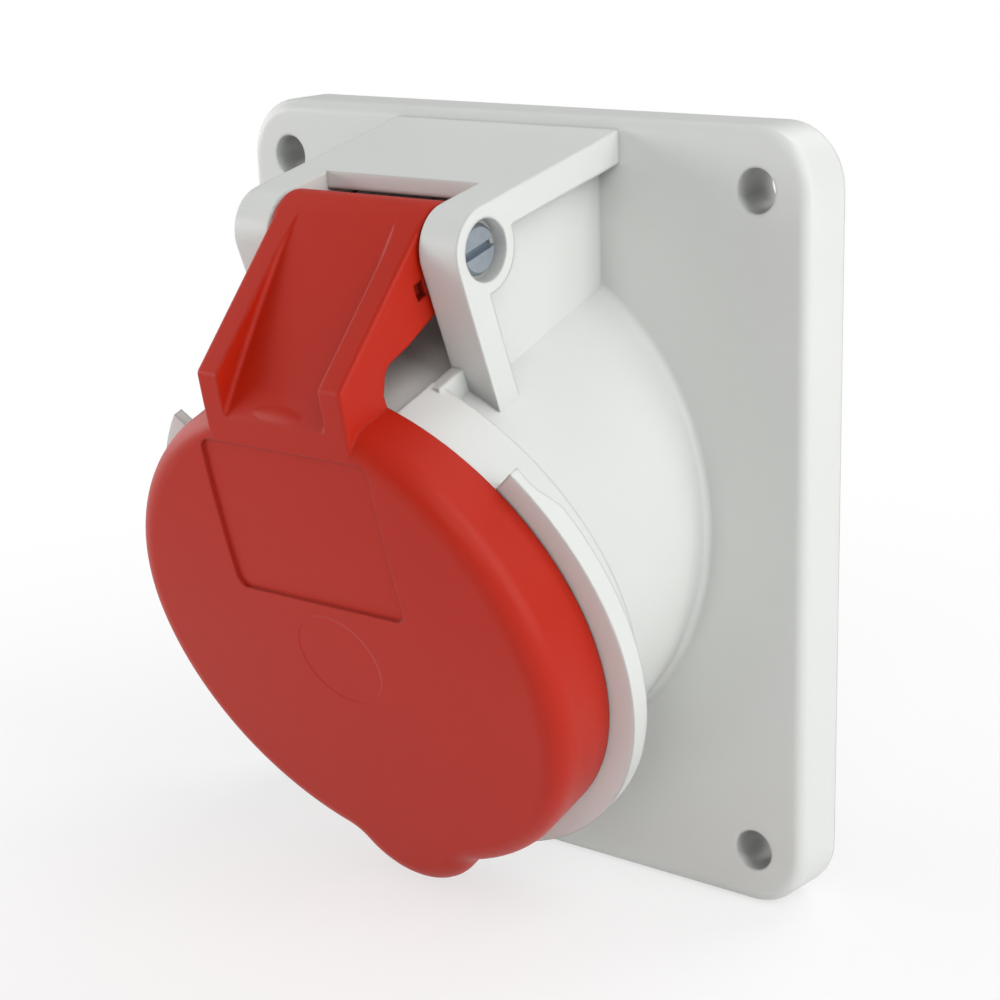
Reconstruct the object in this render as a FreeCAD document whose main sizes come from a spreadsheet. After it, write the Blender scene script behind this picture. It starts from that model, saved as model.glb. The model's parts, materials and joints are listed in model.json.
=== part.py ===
"""Sloping industrial panel socket, 3P+N+E, 16 A, with a sprung hinged lid.

Frame: the origin is the centre of the four screw holes on the back plane of
the flange.  +Z is up and the lid looks towards -Y.  Millimetres.
"""
import FreeCAD, Part
import math
import os

import Sketcher

document = FreeCAD.newDocument("panel_socket")

# Driving sizes.
# Stations along the sloping axis count from the flange's front face outwards.
VALUES = [
    # flange
    ("flange_width", 92.0),
    ("flange_height", 100.0),
    ("flange_depth", 7.7),
    ("flange_corner", 8.0),
    ("flange_edge", 1.6),
    ("flange_front", 3.0),
    ("flange_wall", 2.2),
    ("screw_inset", 7.5),
    ("screw_hole", 2.75),
    ("screw_boss", 5.0),
    ("screw_collar", 3.4),
    ("seal_thick", 1.5),
    ("seal_gap", 0.3),
    ("seat_wide", 2.4),
    ("seat_gap", 3.8),
    ("seat_lift", 2.8),
    # sloping tube
    ("tilt", 20.0),
    ("tube_radius", 31.2),
    ("tube_mouth", 30.8),
    ("tube_tail", 12.0),
    ("tube_root", 0.8),
    ("tube_wall", 2.3),
    ("bore_lead", 0.6),
    ("lip_deep", 1.3),
    ("lip_back", 6.0),
    ("lip_thick", 1.5),
    ("key_width", 8.0),
    ("key_depth", 1.2),
    ("lug_deep", 4.2),
    ("lug_half", 4.0),
    ("lug_long", 5.0),
    ("collar_step", 2.3),
    ("collar_start", 20.4),
    ("collar_end", 27.7),
    ("guard_step", 6.5),
    ("guard_start", 24.9),
    ("guard_thin", 26.3),
    ("guard_half_turn", 132.0),
    ("guard_ramp_low", 19.7),
    ("guard_ramp_high", 22.9),
    # hinge block of the housing
    ("pin_station", 11.35),
    ("pin_above", 13.05),
    ("block_half", 18.2),
    ("ear_inner", 12.4),
    ("ear_radius", 5.25),
    ("cheek_outer", 15.1),
    ("gusset_outer", 14.2),
    ("gusset_top", 30.9),
    ("slab_slope", 12.24),
    ("slab_thick", 4.0),
    ("slab_end", 20.0),
    ("roof_thick", 2.0),
    ("leg_wide", 3.95),
    ("root_depth", 20.0),
    # hinge pin
    ("pin_radius", 2.25),
    ("pin_head", 3.05),
    ("pin_head_start", 13.6),
    ("pin_recess", 1.0),
    ("pin_edge", 0.4),
    ("pin_slot", 1.05),
    ("pin_slot_deep", 1.3),
    ("pin_slot_turn", 15.3),
    ("ear_sink", 3.73),
    ("ear_sink_deep", 2.0),
    ("turning_gap", 0.05),
    # spring round the pin
    ("spring_wire", 0.45),
    ("spring_radius", 3.0),
    ("spring_half", 5.2),
    ("spring_pitch", 1.73),
    ("spring_hole", 0.6),
    ("spring_hole_deep", 1.2),
    # lid
    ("lid_face", 38.0),
    ("lid_over", 3.0),
    ("lid_edge", 3.2),
    ("lid_rim", 27.95),
    ("lid_play", 0.85),
    ("lid_seat", 33.9),
    ("lid_seat_wide", 5.05),
    ("lid_thick", 2.4),
    ("nose_inset", 6.6),
    ("nose_radius", 11.0),
    ("nose_blend", 4.5),
    ("nose_back", 32.5),
    ("arm_half", 11.9),
    ("arm_inner", 8.4),
    ("arm_slope", 28.57),
    ("arm_front", 34.35),
    ("arm_foot", 2.7),
    ("arm_tip", 0.8),
    ("arm_edge", 0.45),
    ("arm_back_high", 6.55),
    ("arm_back_middle", 5.6),
    ("arm_back_low", 5.3),
    ("arm_back_foot", 3.7),
    ("barrel_radius", 5.2),
    ("web_curve", 200.0),
    ("web_end_out", 34.94),
    ("web_end_inset", 1.48),
    ("web_thick", 1.8),
    ("web_blend", 0.6),
    ("spring_room", 3.8),
    ("spring_room_half", 6.5),
    ("notch_deep", 1.2),
    ("label_low", 7.9),
    ("label_high", 28.9),
    ("label_low_half", 14.1),
    ("label_high_half", 13.9),
    ("label_corner", 1.5),
    ("label_deep", 0.4),
    ("gasket_lip", 1.2),
    ("gasket_gap", 0.1),
    ("gasket_fit", 0.2),
    # contact insert
    ("carrier_gap", 0.3),
    ("carrier_face", 24.0),
    ("carrier_edge", 0.8),
    ("carrier_back", 9.0),
    ("block_inset", 0.4),
    ("block_back", 34.0),
    ("contact_inset", 8.9),
    ("contact_front", 21.8),
    ("contact_room", 22.0),
    ("contact_back", 28.0),
    ("contact_flange", 1.5),
    ("contact_gap", 0.2),
    ("earth_pin", 3.55),
    ("pole_pin", 2.55),
    ("sleeve_wall", 1.05),
    ("earth_barrel_step", 0.4),
    ("pole_barrel_step", 0.6),
    ("contact_collar", 0.8),
    ("contact_depth", 20.0),
    ("wire_hole", 1.9),
    ("wire_depth", 14.0),
    ("wire_entry", 2.6),
    ("slit_wide", 0.7),
    ("slit_end", 8.0),
    ("clip_front", 17.0),
    ("clip_back", 12.0),
    ("clip_thick", 0.45),
    ("clip_gap", 1.2),
    ("clip_room", 0.35),
    ("clamp_station", 20.0),
    ("clamp_radius", 1.2),
    ("clamp_tip", 17.6),
    ("clamp_shoulder", 20.7),
    ("clamp_end", 22.6),
    ("clamp_head", 1.9),
    ("clamp_room", 2.2),
    ("fixing_inset", 2.3),
    ("fixing_radius", 1.05),
    ("fixing_head", 1.95),
    ("fixing_head_long", 1.7),
    ("fixing_long", 6.5),
    ("centre_radius", 1.85),
    ("centre_head", 3.5),
    ("centre_head_long", 2.5),
    ("centre_long", 30.0),
    ("centre_sink", 3.0),
    ("driver_slot", 0.8),
    ("driver_deep", 0.7),
]

# Each contact: its name, its angle on the circle and the family of its sizes.
CONTACTS = [
    ("earth", 270.0, "earth"),
    ("n", 198.0, "pole"),
    ("l1", 126.0, "pole"),
    ("l2", 54.0, "pole"),
    ("l3", -18.0, "pole"),
]


class Size:
    """A number together with the sheet expression that gives it."""

    def __init__(self, value, text):
        self.value = value
        self.text = text

    def __add__(self, other):
        other = plain(other)
        return Size(self.value + other.value, "(%s + %s)" % (self.text, other.text))

    def __radd__(self, other):
        return plain(other) + self

    def __sub__(self, other):
        other = plain(other)
        return Size(self.value - other.value, "(%s - %s)" % (self.text, other.text))

    def __rsub__(self, other):
        return plain(other) - self

    def __mul__(self, other):
        other = plain(other)
        return Size(self.value * other.value, "(%s * %s)" % (self.text, other.text))

    def __rmul__(self, other):
        return plain(other) * self

    def __truediv__(self, other):
        other = plain(other)
        return Size(self.value / other.value, "(%s / %s)" % (self.text, other.text))

    def __neg__(self):
        return Size(-self.value, "(0 - %s)" % self.text)


def plain(number):
    if isinstance(number, Size):
        return number
    return Size(float(number), "(%.9g)" % number)


def sine(angle):
    angle = plain(angle)
    return Size(math.sin(math.radians(angle.value)), "sin(%s)" % angle.text)


def cosine(angle):
    angle = plain(angle)
    return Size(math.cos(math.radians(angle.value)), "cos(%s)" % angle.text)


def root(size):
    return Size(math.sqrt(size.value), "sqrt(%s)" % size.text)


class Table:
    """The sheet: every row of VALUES is a cell with an alias."""

    def __init__(self, rows):
        self.sheet = document.addObject("Spreadsheet::Sheet", "sizes")
        self.row = 0
        for name, value in rows:
            self.add(name, value)
        document.recompute()

    def add(self, name, value):
        self.row += 1
        self.sheet.set("A%d" % self.row, name)
        self.sheet.set("B%d" % self.row, "%.9g" % value)
        self.sheet.setAlias("B%d" % self.row, name)

    def derive(self, name, made_of):
        """Adds a cell that the sheet works out from other cells."""
        self.add(name, made_of.value)
        self.sheet.set("B%d" % self.row, "=" + made_of.text.replace("sizes.", ""))
        document.recompute()

    def __getattr__(self, name):
        return Size(float(self.sheet.get(name)), "sizes.%s" % name)


for contact_name, angle, _ in CONTACTS:
    VALUES.append((contact_name + "_angle", angle))

size = Table(VALUES)

# Sizes that follow from others, so that mating pieces stay together.
size.derive("screw_across", size.flange_width - 2 * size.screw_inset)
size.derive("screw_up", size.flange_height - 2 * size.screw_inset)
size.derive("seat_inner", size.tube_radius + size.seat_gap)
size.derive("seat_outer", size.seat_inner + size.seat_wide)
size.derive("bore_radius", size.tube_radius - size.tube_wall)
size.derive("lip_radius", size.bore_radius - size.lip_deep)
size.derive("lug_inner", size.bore_radius - size.lug_deep)
size.derive("fixing_circle", size.bore_radius - size.fixing_inset)
size.derive("collar_radius", size.tube_radius + size.collar_step)
size.derive("guard_radius", size.tube_radius + size.guard_step)
size.derive("lid_radius", size.tube_radius + size.lid_over)
size.derive("lid_inner", size.tube_radius + size.lid_play)
size.derive("lid_hollow", size.lid_inner - size.lid_seat_wide)
size.derive("gasket_inner", size.lid_hollow + size.gasket_lip)
size.derive("nose_centre", size.lid_radius - size.nose_inset)
size.derive("web_end_up", size.lid_radius - size.web_end_inset)
size.derive("carrier_radius", size.lug_inner - size.carrier_gap)
size.derive("carrier_flange", size.bore_radius - size.carrier_gap)
size.derive("block_radius", size.carrier_radius - size.block_inset)
size.derive("contact_circle", size.carrier_radius - size.contact_inset)
size.derive(
    "pin_out",
    size.pin_station * cosine(size.tilt)
    + (size.tube_radius + size.pin_above) * sine(size.tilt))
size.derive(
    "pin_up",
    (size.tube_radius + size.pin_above) * cosine(size.tilt)
    - size.pin_station * sine(size.tilt))


def contact_size(name, size_name):
    """Radius of a contact's pin hole, sleeve, barrel or flange, or its angle."""
    family = dict((row[0], row[2]) for row in CONTACTS)[name]
    if size_name == "angle":
        return getattr(size, name + "_angle")
    radius = getattr(size, family + "_pin")
    if size_name == "pin":
        return radius
    radius = radius + size.sleeve_wall
    if size_name == "sleeve":
        return radius
    radius = radius + getattr(size, family + "_barrel_step")
    if size_name == "barrel":
        return radius
    return radius + size.contact_collar


# Sketch helpers.
def point_limits(geometry, position, across, up):
    return [
        (Sketcher.Constraint("DistanceX", geometry, position, across.value), across.text),
        (Sketcher.Constraint("DistanceY", geometry, position, up.value), up.text),
    ]


def bind(sketch, limits):
    numbers = sketch.addConstraint([limit for limit, _ in limits])
    for number, (_, text) in zip(numbers, limits):
        if text is not None:
            sketch.setExpression("Constraints[%d]" % number, text)


def arc_between(start, end, radius):
    """The shorter arc; a positive radius turns to the left."""
    chord = end - start
    half = chord.Length / 2
    left = FreeCAD.Vector(-chord.y, chord.x, 0).normalize()
    reach = math.sqrt(max(radius * radius - half * half, 0.0))
    centre = (start + end) * 0.5 + left * math.copysign(reach, radius)
    first = math.atan2(start.y - centre.y, start.x - centre.x)
    last = math.atan2(end.y - centre.y, end.x - centre.x)
    if radius < 0:
        first, last = last, first
    circle = Part.Circle(centre, FreeCAD.Vector(0, 0, 1), abs(radius))
    return Part.ArcOfCircle(circle, first, last)


def outline(sketch, points):
    """Closed line through the points.

    A point is (across, up) or (across, up, radius).  The radius makes the way
    to that point an arc, which turns left when positive and right otherwise.
    """
    points = [[plain(number) for number in point] for point in points]
    base = sketch.GeometryCount
    places = [FreeCAD.Vector(point[0].value, point[1].value, 0) for point in points]
    shapes = []
    starts = []
    limits = []
    for index, point in enumerate(points):
        start = places[index - 1]
        end = places[index]
        geometry = base + index
        begin, finish = 1, 2
        if len(point) == 3:
            shapes.append(arc_between(start, end, point[2].value))
            if point[2].value < 0:
                begin, finish = 2, 1
            radius = point[2]
            if radius.value < 0:
                radius = -radius
            limits.append((Sketcher.Constraint("Radius", geometry, radius.value), radius.text))
        else:
            shapes.append(Part.LineSegment(start, end))
        starts.append((geometry, begin, finish))
        limits.extend(point_limits(geometry, finish, point[0], point[1]))
    for index, (geometry, begin, _) in enumerate(starts):
        before, _, finish = starts[index - 1]
        limits.append((Sketcher.Constraint("Coincident", before, finish, geometry, begin), None))
    sketch.addGeometry(shapes, False)
    bind(sketch, limits)


def circle(sketch, across, up, radius):
    across, up, radius = plain(across), plain(up), plain(radius)
    geometry = sketch.GeometryCount
    centre = FreeCAD.Vector(across.value, up.value, 0)
    sketch.addGeometry(Part.Circle(centre, FreeCAD.Vector(0, 0, 1), radius.value), False)
    limits = point_limits(geometry, 3, across, up)
    limits.append((Sketcher.Constraint("Radius", geometry, radius.value), radius.text))
    bind(sketch, limits)


def rectangle(sketch, low_across, low_up, high_across, high_up):
    outline(sketch, [
        (low_across, low_up),
        (high_across, low_up),
        (high_across, high_up),
        (low_across, high_up),
    ])


def rounded_rectangle(sketch, half_across, half_up, corner):
    outline(sketch, [
        (corner - half_across, -half_up),
        (half_across - corner, -half_up),
        (half_across, corner - half_up, corner),
        (half_across, half_up - corner),
        (half_across - corner, half_up, corner),
        (corner - half_across, half_up),
        (-half_across, half_up - corner, corner),
        (-half_across, corner - half_up),
        (corner - half_across, -half_up, corner),
    ][1:])


def plane_of(body, role):
    for feature in body.Origin.OriginFeatures:
        if feature.Role == role:
            return feature
    raise ValueError(role)


def sketch_on(body, role, name):
    sketch = body.newObject("Sketcher::SketchObject", name)
    sketch.AttachmentSupport = [(plane_of(body, role), "")]
    sketch.MapMode = "FlatFace"
    return sketch


def shift(sketch, axis, distance):
    sketch.setExpression("AttachmentOffset.Base.%s" % axis, plain(distance).text)


def turn(sketch, axis, angle):
    angle = plain(angle)
    start = angle.value if abs(angle.value) > 0.01 else 1.0
    sketch.AttachmentOffset = FreeCAD.Placement(
        FreeCAD.Vector(0, 0, 0), FreeCAD.Rotation(axis, start))
    sketch.setExpression("AttachmentOffset.Rotation.Angle", angle.text)


ALONG_X = FreeCAD.Vector(1, 0, 0)
ALONG_Y = FreeCAD.Vector(0, 1, 0)
ALONG_Z = FreeCAD.Vector(0, 0, 1)


def slope_side(body, name):
    """Side sketch of a sloping form: across is up the slope, up is outwards."""
    sketch = sketch_on(body, "YZ_Plane", name)
    turn(sketch, ALONG_Z, 90 + size.tilt)
    shift(sketch, "x", -size.flange_depth)
    return sketch


def slope_front(body, name, station):
    """Sketch square to the sloping axis at a station."""
    station = plain(station)
    sketch = sketch_on(body, "XZ_Plane", name)
    turn(sketch, ALONG_X, size.tilt)
    shift(sketch, "y", -station * sine(size.tilt))
    shift(sketch, "z", size.flange_depth + station * cosine(size.tilt))
    return sketch


# Feature helpers.
def new_body(label):
    body = document.addObject("PartDesign::Body", label)
    body.Label = label
    return body


def pad(body, sketch, length, both_ways=False, backwards=False):
    feature = body.newObject("PartDesign::Pad", sketch.Name + "_pad")
    feature.Profile = sketch
    feature.setExpression("Length", plain(length).text)
    feature.SideType = "Symmetric" if both_ways else "One side"
    feature.Reversed = backwards
    sketch.Visibility = False
    return feature


def pocket(body, sketch, length, both_ways=False, backwards=False):
    feature = body.newObject("PartDesign::Pocket", sketch.Name + "_pocket")
    feature.Profile = sketch
    feature.setExpression("Length", plain(length).text)
    feature.SideType = "Symmetric" if both_ways else "One side"
    feature.Reversed = backwards
    sketch.Visibility = False
    return feature


def spin(body, sketch, kind="Revolution", axis="V_Axis", angle=None):
    feature = body.newObject("PartDesign::" + kind, sketch.Name + "_turned")
    feature.Profile = sketch
    feature.ReferenceAxis = (sketch, [axis])
    feature.Angle = 360
    if angle is not None:
        feature.Midplane = True
        feature.setExpression("Angle", plain(angle).text)
    return feature


def repeat(body, features, sketch, count):
    pattern = body.newObject("PartDesign::PolarPattern", sketch.Name + "_round")
    pattern.Originals = features
    pattern.Axis = (sketch, ["V_Axis"])
    pattern.Angle = 360
    pattern.Occurrences = count
    body.Tip = pattern
    return pattern


def rounding(body, base, names, radius, label):
    feature = body.newObject("PartDesign::Fillet", label)
    feature.Base = (base, names)
    feature.setExpression("Radius", radius.text)
    return feature


def join(body, other, label, kind="Fuse"):
    """Adds another body's solid to this one, or cuts it out."""
    feature = body.newObject("PartDesign::Boolean", label)
    feature.setObjects([other])
    feature.Type = kind
    return feature


def edges_where(feature, test):
    document.recompute()
    names = []
    for number, edge in enumerate(feature.Shape.Edges, 1):
        first, last = edge.ParameterRange
        middle = edge.valueAt((first + last) / 2)
        points = [vertex.Point for vertex in edge.Vertexes] + [middle]
        if all(test(point) for point in points):
            names.append("Edge%d" % number)
    return names


def slope_place(body, across=0.0, up_slope=0.0):
    """Puts a body on the sloping frame: its Z runs outwards along the slope."""
    across, up_slope = plain(across), plain(up_slope)
    body.Placement = FreeCAD.Placement(
        FreeCAD.Vector(0, 0, 0), FreeCAD.Rotation(ALONG_X, 90 + size.tilt.value))
    body.setExpression("Placement.Rotation.Angle", "90 + sizes.tilt")
    body.setExpression("Placement.Base.x", across.text)
    body.setExpression(
        "Placement.Base.y", (-size.flange_depth - up_slope * sine(size.tilt)).text)
    body.setExpression("Placement.Base.z", (up_slope * cosine(size.tilt)).text)


def pin_place(body):
    """Puts a body on the hinge axis: its Z runs along +X."""
    body.Placement = FreeCAD.Placement(
        FreeCAD.Vector(0, 0, 0), FreeCAD.Rotation(ALONG_Y, 90))
    body.setExpression("Placement.Base.y", (-size.flange_depth - size.pin_out).text)
    body.setExpression("Placement.Base.z", size.pin_up.text)


# The hinge axis in the sloping frame: out along the slope, and up the slope.
pin_slope_out = size.pin_station
pin_slope_up = size.tube_radius + size.pin_above


def on_block(out, up):
    """Side view point of the hinge block from its distance to the flange."""
    return (-size.flange_depth - out, plain(up))


def on_slope(out, up):
    """The same side view point, given in the sloping frame."""
    out, up = plain(out), plain(up)
    forward = out * cosine(size.tilt) + up * sine(size.tilt)
    height = up * cosine(size.tilt) - out * sine(size.tilt)
    return on_block(forward, height)


# Housing: one moulding of flange, sloping tube, guard ring and hinge block.
def make_housing():
    body = new_body("housing")
    flange = sketch_on(body, "XZ_Plane", "flange")
    rounded_rectangle(
        flange, size.flange_width / 2, size.flange_height / 2, size.flange_corner)
    plate = pad(body, flange, size.flange_depth)
    front = -size.flange_depth.value
    rim = edges_where(plate, lambda point: abs(point.y - front) < 0.001)
    rounding(body, plate, rim, size.flange_edge, "flange_rounding")

    hollow = sketch_on(body, "XZ_Plane", "hollow")
    rounded_rectangle(
        hollow,
        size.flange_width / 2 - size.flange_wall,
        size.flange_height / 2 - size.flange_wall,
        size.flange_corner - size.flange_wall)
    pocket(body, hollow, size.flange_depth - size.flange_front, backwards=True)

    bosses = sketch_on(body, "XZ_Plane", "bosses")
    shift(bosses, "z", size.seal_thick)
    for side in (-1, 1):
        for level in (-1, 1):
            circle(
                bosses, side * size.screw_across / 2, level * size.screw_up / 2,
                size.screw_boss)
    pad(body, bosses, size.flange_depth - size.flange_front / 2 - size.seal_thick)
    collars = sketch_on(body, "XZ_Plane", "screw_collars")
    for side in (-1, 1):
        for level in (-1, 1):
            circle(
                collars, side * size.screw_across / 2, level * size.screw_up / 2,
                size.screw_collar)
    pad(body, collars, size.flange_depth - size.flange_front / 2)

    seat = sketch_on(body, "XZ_Plane", "seat")
    shift(seat, "z", size.seal_thick)
    circle(seat, 0, size.seat_lift, size.seat_outer)
    circle(seat, 0, size.seat_lift, size.seat_inner)
    pad(body, seat, size.flange_depth - size.flange_front / 2 - size.seal_thick)

    make_hinge_block(body)

    tube = slope_side(body, "tube")
    outline(tube, [
        (0, -size.tube_tail),
        (size.tube_radius, -size.tube_tail),
        (size.tube_radius, size.tube_mouth),
        (0, size.tube_mouth),
    ])
    standing = spin(body, tube)
    cos_tilt, radius = math.cos(math.radians(size.tilt.value)), size.tube_radius.value

    def at_root(point):
        reach = math.hypot(point.x, point.z * cos_tilt)
        return abs(point.y - front) < 0.001 and abs(reach - radius) < 0.01

    root_edges = edges_where(standing, at_root)
    rounding(body, standing, root_edges, size.tube_root, "tube_root_rounding")

    join(body, make_guard(), "guard_joined")

    bore = slope_side(body, "bore")
    outline(bore, [
        (0, -size.tube_tail - 1),
        (size.bore_radius, -size.tube_tail - 1),
        (size.bore_radius, -size.lip_back),
        (size.lip_radius, -size.lip_back),
        (size.lip_radius, size.lip_thick - size.lip_back),
        (size.bore_radius, size.lip_thick - size.lip_back),
        (size.bore_radius, size.tube_mouth - size.bore_lead),
        (size.bore_radius + size.bore_lead, size.tube_mouth),
        (size.bore_radius + size.bore_lead, size.tube_mouth + 1),
        (0, size.tube_mouth + 1),
    ])
    spin(body, bore, kind="Groove")

    key = slope_front(body, "key", size.tube_mouth)
    rectangle(
        key,
        -size.key_width / 2, -size.bore_radius - size.key_depth,
        size.key_width / 2, 2 - size.bore_radius)
    pocket(body, key, size.tube_mouth)

    lugs = slope_front(body, "lugs", -size.lip_back)
    for side in (-1, 1):
        near, far = side * size.lug_inner, side * (size.bore_radius + 1)
        low, high = (near, far) if side > 0 else (far, near)
        rectangle(lugs, low, -size.lug_half, high, size.lug_half)
    pad(body, lugs, size.lug_long)
    pilots = slope_front(body, "pilots", -size.lip_back)
    for side in (-1, 1):
        circle(pilots, side * size.fixing_circle, 0, size.fixing_radius + size.turning_gap)
    pocket(body, pilots, size.lug_long + 1, backwards=True)

    holes = sketch_on(body, "XZ_Plane", "screw_holes")
    for side in (-1, 1):
        for level in (-1, 1):
            circle(
                holes, side * size.screw_across / 2, level * size.screw_up / 2,
                size.screw_hole)
    pocket(body, holes, size.flange_depth + 1, backwards=True)

    leg_hole = sketch_on(body, "XY_Plane", "spring_leg_hole")
    shift(leg_hole, "z", leg_ground() + 1)
    circle(
        leg_hole, -size.spring_half,
        -size.flange_depth - size.pin_out - size.spring_radius, size.spring_hole)
    pocket(body, leg_hole, size.spring_hole_deep + 1)
    return body


def make_guard():
    """Ring round the lid, open at the top and thinner at its two ends."""
    body = new_body("guard_ring")
    ring = slope_side(body, "guard")
    outline(ring, [
        (-size.guard_radius, size.guard_start),
        (1 - size.tube_radius, size.guard_start),
        (1 - size.tube_radius, size.collar_end),
        (-size.guard_radius, size.collar_end),
    ])
    spin(body, ring, angle=2 * size.guard_half_turn)
    ramp = slope_side(body, "guard_ramp")
    outline(ramp, [
        (size.guard_ramp_low, size.guard_start),
        (size.guard_ramp_low, size.guard_start - 1),
        (size.guard_radius, size.guard_start - 1),
        (size.guard_radius, size.guard_thin),
        (size.guard_ramp_high, size.guard_thin),
    ])
    pocket(body, ramp, 3 * size.guard_radius, both_ways=True)
    return body


def make_hinge_block(body):
    slab_cos, slab_sin = cosine(size.slab_slope), sine(size.slab_slope)
    slab_rise = slab_sin / slab_cos
    radius = size.ear_radius
    crown = (size.pin_out + radius * slab_sin, size.pin_up + radius * slab_cos)
    behind = -1.0
    top_height = crown[1] + (crown[0] - behind) * slab_rise
    under_height = top_height - size.slab_thick / slab_cos
    roof_height = top_height - size.roof_thick / slab_cos

    # Ear, band along its top and leg down to the tube, as one side view.
    inset = size.leg_wide - radius
    drop = root(radius * radius - inset * inset)
    under = radius - size.slab_thick
    reach = root(radius * radius - under * under)
    ear = sketch_on(body, "YZ_Plane", "ear")
    outline(ear, [
        on_block(behind, top_height),
        on_block(*crown),
        on_slope(pin_slope_out + radius, pin_slope_up) + (radius,),
        on_slope(pin_slope_out + radius, size.root_depth),
        on_slope(pin_slope_out - inset, size.root_depth),
        on_slope(pin_slope_out - inset, pin_slope_up - drop),
        on_block(
            size.pin_out + under * slab_sin - reach * slab_cos,
            size.pin_up + under * slab_cos + reach * slab_sin) + (radius,),
        on_block(behind, under_height),
    ])
    pad(body, ear, 2 * size.block_half, both_ways=True)

    # Recessed cheek between flange, slab, leg and tube.
    cheek = sketch_on(body, "YZ_Plane", "cheek")
    outline(cheek, [
        on_block(behind, under_height + 1),
        on_block(size.pin_out, size.pin_up),
        on_slope(pin_slope_out + size.leg_wide / 2, size.root_depth),
        on_block(behind, size.root_depth),
    ])
    pad(body, cheek, 2 * size.cheek_outer, both_ways=True)

    gusset = sketch_on(body, "YZ_Plane", "gusset")
    outline(gusset, [
        on_slope(pin_slope_out + radius - 1, size.gusset_top),
        on_slope(pin_slope_out + radius - 1, size.root_depth),
        on_slope(size.collar_start + 1, size.root_depth),
        on_slope(size.collar_start + 1, size.gusset_top),
    ])
    pad(body, gusset, 2 * size.gusset_outer, both_ways=True)

    collar = slope_side(body, "collar")
    outline(collar, [
        (0, size.collar_start),
        (size.collar_radius, size.collar_start),
        (size.collar_radius, size.collar_end),
        (0, size.collar_end),
    ])
    spin(body, collar)

    # Open space between the ears, under the slab and in front of its end.
    room = sketch_on(body, "YZ_Plane", "hinge_room")
    outline(room, [
        on_block(0, roof_height - slab_rise),
        on_block(0, 10),
        on_block(60, 10),
        on_block(60, 60),
        on_block(size.slab_end, 60),
        on_block(size.slab_end, roof_height - (size.slab_end - behind) * slab_rise),
    ])
    pocket(body, room, 2 * size.ear_inner, both_ways=True)

    # Bore for the pin, stepped for its head at the +X end.
    shank = sketch_on(body, "YZ_Plane", "shank_bore")
    circle(shank, *on_block(size.pin_out, size.pin_up), size.pin_radius + size.turning_gap)
    pocket(body, shank, 2 * size.block_half + 1, both_ways=True)
    head = sketch_on(body, "YZ_Plane", "head_bore")
    shift(head, "z", size.pin_head_start - 0.1)
    circle(head, *on_block(size.pin_out, size.pin_up), size.pin_head + size.turning_gap)
    pocket(body, head, size.block_half, backwards=True)
    sink = sketch_on(body, "YZ_Plane", "ear_sink_bore")
    shift(sink, "z", size.block_half - size.ear_sink_deep)
    circle(sink, *on_block(size.pin_out, size.pin_up), size.ear_sink)
    pocket(body, sink, size.block_half, backwards=True)


def leg_ground():
    """Height of the tube's back where the spring's fixed leg comes down."""
    up = root(size.tube_radius * size.tube_radius - size.spring_half * size.spring_half)
    out = (size.pin_out + size.spring_radius - up * sine(size.tilt)) / cosine(size.tilt)
    return up * cosine(size.tilt) - out * sine(size.tilt)


# Lid: domed cap with a finger nose, two arms, a web and the hinge barrel.
def make_lid():
    body = new_body("lid_moulding")
    slope_place(body)

    rim, nose, blend = size.lid_radius, size.nose_radius, size.nose_blend
    centre = size.nose_centre
    far, near = rim + blend, nose + blend
    blend_up = (near * near - far * far - centre * centre) / (2 * centre)
    blend_across = root(far * far - blend_up * blend_up)
    rim_across, rim_up = blend_across * rim / far, blend_up * rim / far
    nose_across = blend_across * nose / near
    nose_up = (blend_up + centre) * nose / near - centre
    plan = sketch_on(body, "XY_Plane", "lid_plan")
    shift(plan, "z", size.lid_rim)
    outline(plan, [
        (0, -centre - nose, nose),
        (nose_across, nose_up, nose),
        (rim_across, rim_up, -blend),
        (rim, 0, rim),
        (0, rim, rim),
        (-rim, 0, rim),
        (-rim_across, rim_up, rim),
        (-nose_across, nose_up, -blend),
    ])
    pad(body, plan, size.lid_face - size.lid_rim)
    brow = sketch_on(body, "YZ_Plane", "brow")
    above_brow(brow, rim + 4, 0)
    faced = pocket(body, brow, 2 * rim + 10, both_ways=True)

    level = size.lid_rim.value + 4
    edge = edges_where(faced, lambda point: edge_of_face(point, level))
    rounding(body, faced, edge, size.lid_edge, "lid_edge_rounding")
    reach = centre + nose + 4

    under_nose = sketch_on(body, "XZ_Plane", "under_nose")
    rectangle(under_nose, rim, size.lid_rim - 1, reach, size.nose_back)
    spin(body, under_nose, kind="Groove")

    join(body, make_arms(), "arms_joined")

    hollow = sketch_on(body, "XZ_Plane", "lid_hollow_side")
    rectangle(hollow, 0, size.lid_rim - 1, size.lid_inner, size.lid_seat)
    spin(body, hollow, kind="Groove")

    # Hollow over the gasket, one wall behind the face.
    core = new_body("lid_core")
    round_core = sketch_on(core, "XY_Plane", "core_plan")
    shift(round_core, "z", size.lid_rim)
    circle(round_core, 0, 0, size.lid_hollow)
    pad(core, round_core, size.lid_face - size.lid_thick - size.lid_rim)
    core_brow = sketch_on(core, "YZ_Plane", "core_brow")
    above_brow(core_brow, size.lid_hollow + 1, size.lid_thick)
    pocket(core, core_brow, 2 * size.lid_hollow + 2, both_ways=True)
    join(body, core, "core_cut", kind="Cut")
    return body


def edge_of_face(point, level):
    reach = math.hypot(point.x, point.y)
    return point.z > level and reach > size.lid_radius.value - 0.5


def arm_apex():
    """Where the arms' sloping top meets the front: (up, out)."""
    tangent_out = pin_slope_out + size.barrel_radius * sine(size.arm_slope)
    tangent_up = pin_slope_up + size.barrel_radius * cosine(size.arm_slope)
    drop = size.arm_front - tangent_out
    return tangent_up - drop * sine(size.arm_slope) / cosine(size.arm_slope), size.arm_front


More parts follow.
